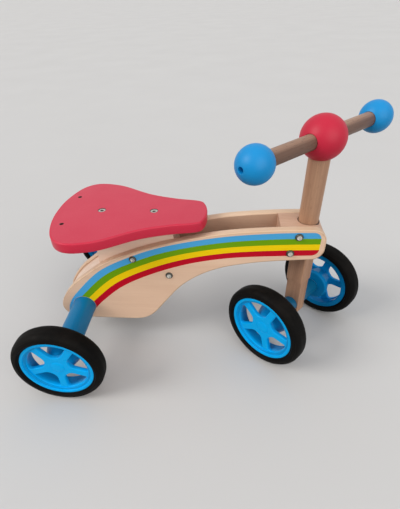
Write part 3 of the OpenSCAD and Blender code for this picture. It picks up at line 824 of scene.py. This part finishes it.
def side_panel(side):
    """Plywood side panel; its finishes are the outer face, the edges, the inner face in a darker tone as painted
    shade, and the band's inks.
    """
    bm = bmesh.new()
    curves = band_curves()
    areas = [curves[k] + curves[k + 1][::-1] for k in range(len(STRIPES))]
    top = BAND_TOP[-2][1]
    bottom = BAND_BOTTOM[-2][1]
    end_line = (
        arc((BAND_END_X, bottom + BAND_END_R), BAND_END_R, -90, 0, 8)
        + arc((BAND_END_X, top - BAND_END_R), BAND_END_R, 0, 90, 8)
    )

    def band_paint(middle):
        if in_band_end(middle, top, bottom):
            for k, area in enumerate(areas):
                if inside(middle, area):
                    return FIRST_INK + k
        return 0

    holes = [(circle(place, SCREW_HOLE_R, 24), (0, 0), 1) for place in FRONT_SCREWS + MIDDLE_SCREWS]
    holes.append((circle((0, wheel_r), BEAM_HOLE_R, 72), (0, 0.3), 1))
    upright = Matrix.Translation((rear_axle_x, panel_inner, 0)) @ facing("right")
    plate(
        bm, panel_outline(), 0, panel_inner - panel_outer, (PANEL_ROUND, PANEL_ROUND), holes, upright,
        paints=(2, 1), lines=curves + [end_line, [curves[0][0], curves[-1][0]]], painter=band_paint,
    )
    if side == "left":
        bm.transform(Matrix.Scale(-1, 4, (0, 1, 0)))
    finishes = [plywood_face, ply_edge, plywood_inner_painted_shade] + print_inks
    make_piece(side + "_panel_board", bm, finishes, "frame", "plywood", [side + "_side_panel"])


def tail_filler():
    """Wooden filler between the panels' tails, set back from their outline."""
    low, high = node_box("rear_block")
    bm = bmesh.new()
    joint_x = high.x - rear_axle_x
    loop = [p for p in inset(panel_outline(), TAIL_SETBACK) if p.x < joint_x - TAIL_CORNER_ROOM]
    start = max(range(len(loop)), key=lambda i: loop[i].y)
    loop = loop[start:] + loop[:start]
    slope = loop[0] - loop[1]
    corner = loop[0] + slope * (joint_x - loop[0].x) / slope.x
    loop = [corner] + loop + [Vector((joint_x, loop[-1].y))]
    hole = (circle((0, wheel_r), BEAM_HOLE_R, 72), (0, 0), 0)
    upright = Matrix.Translation((rear_axle_x, panel_inner, 0)) @ facing("left")
    turned = upright @ Matrix.Scale(-1, 4, (0, 1, 0))
    plate(bm, loop, 0, -2 * panel_inner, (TAIL_EDGE, TAIL_EDGE), [hole], turned)
    make_piece("tail_filler", bm, [beech_pale_painted_light], "frame", "beech", ["rear_block"])


def seat_board():
    """Seat with round edges, sunk screw places and two small holes."""
    outline = smooth_loop(SEAT_SIDE + [(x, -y) for x, y in SEAT_SIDE[-2:0:-1]], 8)
    thick = seat_high.z - seat_low.z
    bm = bmesh.new()
    # The recess and hole walls take the dark wood: painted shade.
    holes = [(circle((x, 0), SEAT_RECESS_R, 48), (0, 0.2), 1) for x in SEAT_SCREWS_X]
    holes += [(circle(place, BACK_HOLE_R, 32), (0.2, 0.2), 1) for place in BACK_HOLES]
    at = Matrix.Translation((rear_axle_x, 0, seat_low.z))
    plate(bm, outline, 0, thick, (SEAT_UNDER_ROUND, SEAT_ROUND), holes, at, paints=(0, 2))
    finishes = [seat_red, recess_wood_painted_shade, seat_rim]
    make_piece("seat_board", bm, finishes, "frame", "seat_red", ["seat"])


def screw_head(bm, head_r, head_h, paints, shank_l, at):
    """Button head with a hex socket, and its shank; paints are for the slope, the top and the socket."""
    count = 48
    apothem = SCREW_SOCKET / 2
    hexagon = []
    for i in range(count):
        angle = 2 * math.pi * i / count
        off = (angle + math.pi / 6) % (math.pi / 3) - math.pi / 6
        hexagon.append(Vector((math.cos(angle), math.sin(angle))) * apothem / math.cos(off))
    dome = filleted([
        (SCREW_SHANK_R, 0, 0), (head_r, 0, 0.25), (head_r, head_h * 0.3, 0.5),
        (head_r * 0.86, head_h * 0.75, 0.8), (head_r * 0.62, head_h, 0.6), (apothem * 1.3, head_h, 0),
    ])
    rows = [[bm.verts.new(at @ Vector((0, 0, -shank_l)))]]
    rows += [add_row(bm, circle((0, 0), SCREW_SHANK_R, count), height, at) for height in (-shank_l, -0.1)]
    rows += [add_row(bm, circle((0, 0), radius, count), height, at) for radius, height in dome]
    rows += [add_row(bm, [p * share for p in hexagon], height, at) for share, height in (
        (1.06, head_h - 0.02), (1, head_h - 0.2), (1, head_h * 0.55),
    )]
    rows.append([bm.verts.new(at @ Vector((0, 0, head_h * 0.45)))])
    slope, top, socket = paints
    socket_rows = 3
    top_rows = 8
    for k, (a, b) in enumerate(zip(rows, rows[1:])):
        left = len(rows) - k
        bridge(bm, a, b, socket if left <= socket_rows else top if left <= top_rows else slope)


def panel_screws(name, places, node):
    """Screws into both panels at the places given."""
    bm = bmesh.new()
    for side, y in (("right", panel_outer), ("left", -panel_outer)):
        for x, z in places:
            turn = Matrix.Rotation(math.radians(x * 7 % 60), 4, "Z")
            at = Matrix.Translation((rear_axle_x + x, y, z)) @ facing(side) @ turn
            # The sloping rim of each head takes the dark steel: a painted dark reflection.
            screw_head(bm, SCREW_HEAD_R, SCREW_HEAD_H, (1, 0, 0), SCREW_SHANK_L, at)
    make_piece(name, bm, [steel, steel_painted_shade], "frame", "steel", [node])


def seat_screw_set():
    """Sunk screws of the seat."""
    bm = bmesh.new()
    foot = seat_high.z - SEAT_SCREW_SINK - SEAT_SCREW_HEAD_H
    for x in SEAT_SCREWS_X:
        at = Matrix.Translation((rear_axle_x + x, 0, foot)) @ Matrix.Rotation(math.radians(x), 4, "Z")
        # The socket takes the dark steel: painted shade in the socket.
        screw_head(bm, SEAT_SCREW_HEAD_R, SEAT_SCREW_HEAD_H, (0, 0, 1), SEAT_SCREW_SHANK_L, at)
    make_piece("sunk_seat_screws", bm, [steel, steel_painted_shade], "frame", "steel", ["seat_screws"])


def post_sleeves():
    """Plain sleeves in the nose, dark as painted shade of the gap round the post; the upper one ends just under
    its top.
    """
    low, high = node_box("steering_bushes")
    top = node_box("head_block")[1].z - SLEEVE_SINK
    bm = bmesh.new()
    for bottom, end in ((low.z, low.z + SLEEVE_L), (high.z - SLEEVE_L, top)):
        rod(bm, (high.x - low.x) / 2, bottom, end, 0.2, post_r + SLEEVE_GAP)
    at = Matrix.Translation((steer_x, 0, 0))
    make_piece("post_sleeves", bm, [nylon_painted_shade], "frame", "nylon", ["steering_bushes"], at)


def axle_beam():
    """Round blue beam round the rear axle."""
    bm = bmesh.new()
    half = beam_high.y
    rod(bm, (beam_high.z - beam_low.z) / 2, -half, half, 0.8, AXLE_R + FIT)
    at = Matrix.Translation((rear_axle_x, 0, wheel_r)) @ facing("right")
    make_piece("axle_beam", bm, [beam_blue], "frame", "toy_blue", ["rear_beam"], at)


# Steering pieces

steering = Matrix.Translation((steer_x, 0, 0)) @ Matrix.Rotation(-steer_turn, 4, "Z")
bar = steering @ Matrix.Rotation(-BAR_TWIST, 4, "Z") @ Matrix.Translation((0, 0, bar_z))


def on_axle(side, reach):
    """Place on an axle at a distance from its middle, with +Z outward."""
    way = -1 if side == "right" else 1
    return Matrix.Translation((0, way * reach, wheel_r)) @ facing(side)


def round_post():
    """Round steering post with its tenon."""
    bm = bmesh.new()
    foot = node_box("thrust_washer")[1].z
    rod(bm, post_r, foot, post_high.z, 0.6)
    rod(bm, TENON_R, post_low.z, foot + 1, 0.5)
    make_piece("round_post", bm, [beech], "steering", "beech", ["steering_post"], steering)


def round_bar():
    """Handlebar through the three balls."""
    bm = bmesh.new()
    half = BAR_SPAN / 2 + BAR_PAST_BALL
    rod(bm, bar_r, -half, half, 0.6)
    at = bar @ facing("right")
    # The bar's wood carries painted shade below its top.
    make_piece("round_bar", bm, [beech_painted_shade], "steering", "beech", ["handlebar"], at)


def ball_path(radius, first, last):
    """Half section of a ball between two heights along its bore."""
    start = math.degrees(math.asin(first / radius))
    end = math.degrees(math.asin(last / radius))
    return arc((0, 0), radius, start, end, 40)


def grip(side):
    """Blue ball on the end of the bar, with a sunk screw hole."""
    bm = bmesh.new()
    bore = bar_r + FIT
    inner = -math.sqrt(GRIP_R ** 2 - (bore + 0.5) ** 2)
    outer = math.sqrt(GRIP_R ** 2 - (GRIP_HOLE_R + 0.4) ** 2)
    path = [Vector((bore, BAR_PAST_BALL)), Vector((bore, inner + 0.8)), Vector((bore + 0.1, inner + 0.35))]
    path += ball_path(GRIP_R, inner, outer)
    path += [Vector((GRIP_HOLE_R + 0.1, outer - 0.1)), Vector((GRIP_HOLE_R, outer - 0.5))]
    floor = BAR_PAST_BALL + GRIP_HOLE_FLOOR
    path += [Vector((GRIP_HOLE_R, floor)), Vector((GRIP_SCREW_R, floor))]
    path.append(Vector((GRIP_SCREW_R, BAR_PAST_BALL)))
    revolve(bm, path, closed=True)
    at = bar @ facing(side) @ Matrix.Translation((0, 0, BAR_SPAN / 2))
    make_piece(side + "_grip", bm, [ball_blue], "steering", "toy_blue", [side + "_grip_ball"], at)


def middle_ball():
    """Red ball on bar and post, drilled for both."""
    bm = bmesh.new()
    bore = bar_r + FIT
    end = math.sqrt(CENTRE_BALL_R ** 2 - (bore + 0.6) ** 2)
    path = [Vector((bore, -end + 0.9)), Vector((bore + 0.1, -end + 0.4))]
    path += ball_path(CENTRE_BALL_R, -end, end)
    path += [Vector((bore + 0.1, end - 0.4)), Vector((bore, end - 0.9))]
    revolve(bm, path, closed=True)
    at = bar @ facing("right")
    drill_post_hole(make_piece("middle_ball", bm, [ball_red], "steering", "ball_red", ["centre_ball"], at))


def drill_post_hole(piece):
    """Cuts the hole for the post into the middle ball."""
    bm = bmesh.new()
    rod(bm, post_r + 0.1, bar_z - 2 * CENTRE_BALL_R, post_high.z + 0.1, 0.2)
    drill = new_object("post_drill", finished_mesh("post_drill", bm))
    drill.matrix_world = in_metres(steering)
    cut = piece.modifiers.new("post_hole", "BOOLEAN")
    cut.operation = "DIFFERENCE"
    cut.solver = "EXACT"
    cut.object = drill
    bpy.context.view_layer.update()
    seen = piece.evaluated_get(bpy.context.evaluated_depsgraph_get())
    drilled = bpy.data.meshes.new_from_object(seen)
    piece.modifiers.clear()
    piece.data = drilled
    drilled.name = "middle_ball_drilled"
    drilled.set_sharp_from_angle(angle=math.radians(CREASE))
    bpy.data.objects.remove(drill)


def axle_spacers():
    """Blue spacers between the tongue and the front wheels."""
    bm = bmesh.new()
    end = front_half_track - HUB_REACH - WASHER_ROOM
    for side in ("right", "left"):
        rod(bm, SPACER_R, 0, end - TONGUE_HALF, 0.8, AXLE_R + FIT, on_axle(side, TONGUE_HALF))
    make_piece("axle_spacers", bm, [spacer_blue_painted_shade], "steering", "toy_blue", ["front_spacers"], steering)


# Wheels

def window_outline():
    """Opening between two spokes, counter-clockwise."""
    pitch = 360 / SPOKES
    out_r = WINDOW_OUT - WINDOW_OUT_CORNER
    in_r = WINDOW_IN + WINDOW_IN_CORNER
    out_a = math.degrees(math.asin((SPOKE_W / 2 + WINDOW_OUT_CORNER) / out_r))
    in_a = math.degrees(math.asin((SPOKE_W / 2 + WINDOW_IN_CORNER) / in_r))

    def polar(radius, angle):
        return radius * Vector((math.cos(math.radians(angle)), math.sin(math.radians(angle))))

    return (
        arc(polar(out_r, out_a), WINDOW_OUT_CORNER, -90, out_a, 6)
        + arc((0, 0), WINDOW_OUT, out_a + 3, pitch - out_a - 3, 10)
        + arc(polar(out_r, pitch - out_a), WINDOW_OUT_CORNER, pitch - out_a, pitch + 90, 6)
        + arc(polar(in_r, pitch - in_a), WINDOW_IN_CORNER, pitch + 90, pitch - in_a + 180, 8)
        + arc(polar(in_r, in_a), WINDOW_IN_CORNER, in_a + 180, 270, 8)
    )


def wheel_mesh(end, spoke_angle):
    """Moulded wheel: rim with stepped lip, spoke star and hub boss, with a spoke at the angle given."""
    bm = bmesh.new()
    rim = filleted([
        (RIM_R, RIM_HALF, 0.7), (LIP_R, RIM_HALF, 0.7), (LIP_R, RIM_HALF - LIP_STEP, 0.5),
        (BARREL_R, RIM_HALF - LIP_STEP, 0.9), (BARREL_R, -RIM_HALF, 0.9), (RIM_R, -RIM_HALF, 0.7),
        (RIM_R, FLANGE_T - RIM_HALF, 0), (CHANNEL_R, FLANGE_T - RIM_HALF, 0),
        (CHANNEL_R, RIM_HALF - FLANGE_T, 0), (RIM_R, RIM_HALF - FLANGE_T, 0),
    ], closed=True)
    revolve(bm, rim, closed=True, count=120)
    windows = []
    for k in range(SPOKES):
        turn = Matrix.Rotation(math.radians(spoke_angle) + 2 * math.pi * k / SPOKES, 2)
        windows.append(([turn @ p for p in window_outline()], (0.3, 1.4), 0))
    windows.append((circle((0, 0), CAP_R, 60), (0, 0.3), 0))
    plate(bm, circle((0, 0), BARREL_R + STAR_IN_RIM, 120), STAR_BACK, STAR_FRONT, (0, 0), windows)
    boss = filleted([
        (AXLE_R + 0.1, -HUB_REACH, 0.3), (HUB_R, -HUB_REACH, 2.6), (HUB_R, HUB_LIP - HUB_REACH, 1.5),
        (WINDOW_IN - 0.5, STAR_BACK - 1, 0.6), (WINDOW_IN - 0.5, STAR_BACK + 1, 0),
        (AXLE_R + 0.1, STAR_BACK + 1, 0),
    ], closed=True)
    revolve(bm, boss, closed=True)
    return finished_mesh(end + "_moulded_wheel", bm)


def tyre_mesh():
    """Rubber tyre with round shoulders and a fine raised ring on each."""
    bm = bmesh.new()
    centre_r = wheel_r - TYRE_SHOULDER
    flat = tyre_half - TYRE_SHOULDER
    bead = RIM_R + FIT

    def wall(way):
        path = [Vector((bead, way * RIM_HALF)), Vector((bead + 0.7, way * (RIM_HALF + 0.9)))]
        path.append(Vector((bead + 1.9, way * (tyre_half - 1.9))))
        path.append(Vector((bead + 2.7, way * (tyre_half - 0.9))))
        for angle in (4, 12, 20, 28, 31, 32.5, RING_ANGLE, 35.5, 37, 44, 52, 60, 68, 76, 84, 90):
            radius = TYRE_SHOULDER
            if abs(angle - RING_ANGLE) < 2:
                radius += RING_H if angle == RING_ANGLE else RING_H * 0.8
            turn = math.radians(angle)
            path.append(Vector((centre_r + radius * math.sin(turn), way * (flat + radius * math.cos(turn)))))
        return path

    seat_r = CHANNEL_R + FIT
    inner = [Vector((bead, -RUBBER_FOOT)), Vector((seat_r, -RUBBER_FOOT))]
    inner += [Vector((seat_r, RUBBER_FOOT)), Vector((bead, RUBBER_FOOT))]
    crown = [Vector((wheel_r, flat * 0.5)), Vector((wheel_r, 0)), Vector((wheel_r, -flat * 0.5))]
    revolve(bm, inner + wall(1) + crown + wall(-1)[::-1], closed=True, count=144)
    return finished_mesh("rubber_tyre", bm)


def cap_mesh():
    """Low domed cap over the axle end."""
    bm = bmesh.new()
    r = CAP_R - FIT
    foot = STAR_FRONT - CAP_SINK
    dome = [
        (0, foot, 0), (r, foot, 0.2), (r, STAR_FRONT, 0.3),
        (r - 1, STAR_FRONT + CAP_DOME * 0.5, 0.6), (r * 0.5, STAR_FRONT + CAP_DOME * 0.9, 2),
        (0, STAR_FRONT + CAP_DOME, 0),
    ]
    revolve(bm, filleted(dome), count=72)
    return finished_mesh("domed_cap", bm)


def set_wheels():
    """The four wheels, each with its tyre and cap."""
    rear_axle = Matrix.Translation((rear_axle_x, 0, 0))
    tyre = tyre_mesh()
    cap = cap_mesh()
    for end, axle, half_track, spoke_angle in (
        ("rear", rear_axle, rear_half_track, REAR_SPOKE_ANGLE),
        ("front", steering, front_half_track, FRONT_SPOKE_ANGLE),
    ):
        wheel = wheel_mesh(end, spoke_angle)
        for side in ("right", "left"):
            corner = end + "_" + side
            at = axle @ on_axle(side, half_track)
            for part, mesh, finish, slot in (
                ("wheel", wheel, wheel_plastic, "wheel_blue"),
                ("tyre", tyre, tyre_black, "tyre"),
                ("hub_cap", cap, wheel_plastic, "wheel_blue"),
            ):
                name = corner + "_" + part
                set_piece(name + "_form", mesh, [finish], corner + "_wheel_set", slot, [name], at)


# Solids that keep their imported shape

def dress_solids():
    """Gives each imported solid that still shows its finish."""
    finishes = {
        "steel": steel, "nylon": nylon, "beech": beech, "plywood": plywood_face,
        "seat_red": seat_red, "ball_red": ball_red, "toy_blue": ball_blue,
        "wheel_blue": wheel_plastic, "tyre": tyre_black,
    }
    level = {"seat_block": beech_pale_painted_light, "head_block": beech_level}
    for part in frame["record"]["subparts"]:
        solid = frame["nodes"][part["node"]]
        finish = level.get(part["node"], finishes[part["material_slot"]])
        for i in range(len(solid.data.materials)):
            solid.data.materials[i] = finish


# Room and light: tones as they are seen and as they light, and how strongly each side of the room glows
FLOOR_RINGS = (400, 1500, 9000, 90000)
FLOOR_TONES = ((0.62, 0.61, 0.60, 1), (0.59, 0.58, 0.57, 1))
FLOOR_BOUNCE = (0.22, 0.2, 0.18, 1)
ROOM_SEEN = (0.70, 0.69, 0.68, 1)
ROOM_TONE = (0.95, 0.97, 1.0, 1)
BELOW_GLOW = 0.16
ABOVE_GLOW = 0.82
WALL_GLOW = 0.5
FRONT_GLOW = 0.65
FRONT_WAY = (0.6, -0.8)


def set_room():
    """Plain pale floor; it throws back less light than it shows."""
    bm = bmesh.new()
    rings = [circle((0, 0), radius, 64) for radius in FLOOR_RINGS]
    rows = [[bm.verts.new((0, 0, 0))]] + [add_row(bm, ring, 0, Matrix()) for ring in rings]
    for a, b in zip(rows, rows[1:]):
        bridge(bm, a, b)
    mesh = finished_mesh("floor", bm)
    floor = new_object("floor", mesh)
    finish, tree, shader, place = new_finish("pale_floor")
    cloudy = mottle(tree, place, 3)
    pale = tint(tree, cloudy, *FLOOR_TONES)
    feed(tree, shader, {
        "Base Color": tint(tree, seen_as_background(tree), FLOOR_BOUNCE, pale),
        "Roughness": span(tree, cloudy, 0.3, 0.7, 0.6, 0.75),
        "Specular IOR Level": 0.2,
    })
    mesh.materials.append(finish)


def set_sky():
    """Soft room light from above, the front and the wall behind; plain pale where it is seen."""
    world = bpy.data.worlds.new("soft_room")
    bpy.context.scene.world = world
    world.use_nodes = True
    tree = world.node_tree
    way = add(tree, "SeparateXYZ", {0: add(tree, "TexCoord").outputs["Generated"]}).outputs
    room = span(tree, way[2], -0.1, 0.9, BELOW_GLOW, ABOVE_GLOW)
    wall = span(tree, way[1], 0.1, 0.7, 0, WALL_GLOW)
    ahead = sums(tree, "ADD", *[sums(tree, "MULTIPLY", way[k], FRONT_WAY[k]) for k in (0, 1)])
    front = span(tree, ahead, 0.2, 0.9, 0, FRONT_GLOW)
    lit = sums(tree, "MAXIMUM", room, sums(tree, "MAXIMUM", wall, front))
    seen = seen_as_background(tree)
    feed(tree, tree.nodes["Background"], {
        "Color": tint(tree, seen, ROOM_TONE, ROOM_SEEN),
        "Strength": span(tree, seen, 0, 1, lit, 1),
    })


def set_sun(name, way, strength, spread, tone):
    """Soft distant light from a direction, with its spread in degrees."""
    sun = bpy.data.lights.new(name, "SUN")
    sun.energy = strength
    sun.angle = math.radians(spread)
    sun.color = tone
    new_object(name, sun).rotation_euler = Vector(way).to_track_quat("Z", "Y").to_euler()


# Camera: place about the rear axle in millimetres, turns in radians, focal length in picture points
CAMERA_PLACE = (221.266, -466.503, 483.474)
CAMERA_YAW = -0.116938
CAMERA_PITCH = 0.633834
CAMERA_ROLL = 0.045131
FOCAL = 377.259
PICTURE = (400, 509)
PICTURE_CENTRE = (186.359, 260.319)


def set_camera():
    """Camera that sees the toy as the photograph does."""
    flat = Vector((math.sin(CAMERA_YAW), math.cos(CAMERA_YAW), 0))
    ahead = flat * math.cos(CAMERA_PITCH) - Vector((0, 0, math.sin(CAMERA_PITCH)))
    right = Vector((math.cos(CAMERA_YAW), -math.sin(CAMERA_YAW), 0))
    down = ahead.cross(right)
    across = right * math.cos(CAMERA_ROLL) + down * math.sin(CAMERA_ROLL)
    up = right * math.sin(CAMERA_ROLL) - down * math.cos(CAMERA_ROLL)
    lens = bpy.data.cameras.new("camera")
    lens.sensor_width = 36
    lens.lens = FOCAL * lens.sensor_width / max(PICTURE)
    lens.shift_x = (PICTURE[0] / 2 - PICTURE_CENTRE[0]) / max(PICTURE)
    lens.shift_y = (PICTURE_CENTRE[1] - PICTURE[1] / 2) / max(PICTURE)
    lens.clip_start = 0.01
    camera = new_object("camera", lens)
    turn = Matrix((across, up, -ahead)).transposed().to_4x4()
    place = Vector(CAMERA_PLACE) + Vector((rear_axle_x, 0, 0))
    camera.matrix_world = Matrix.Translation(place * MM) @ turn
    bpy.context.scene.camera = camera


bpy.context.scene.view_settings.view_transform = "Standard"
set_camera()
set_room()
set_sky()
set_sun("window", (-0.75, -0.3, 0.6), strength=1.45, spread=28, tone=(1.0, 0.98, 0.95))
set_sun("lamp", (0.5, -0.75, 0.43), strength=1.2, spread=60, tone=(1.0, 0.97, 0.93))
dress_solids()
for side in ("right", "left"):
    side_panel(side)
    grip(side)
tail_filler()
seat_board()
panel_screws("nose_screws", FRONT_SCREWS, "front_panel_screws")
panel_screws("seat_block_screws", MIDDLE_SCREWS, "middle_panel_screws")
seat_screw_set()
post_sleeves()
axle_beam()
round_post()
round_bar()
middle_ball()
axle_spacers()
set_wheels()
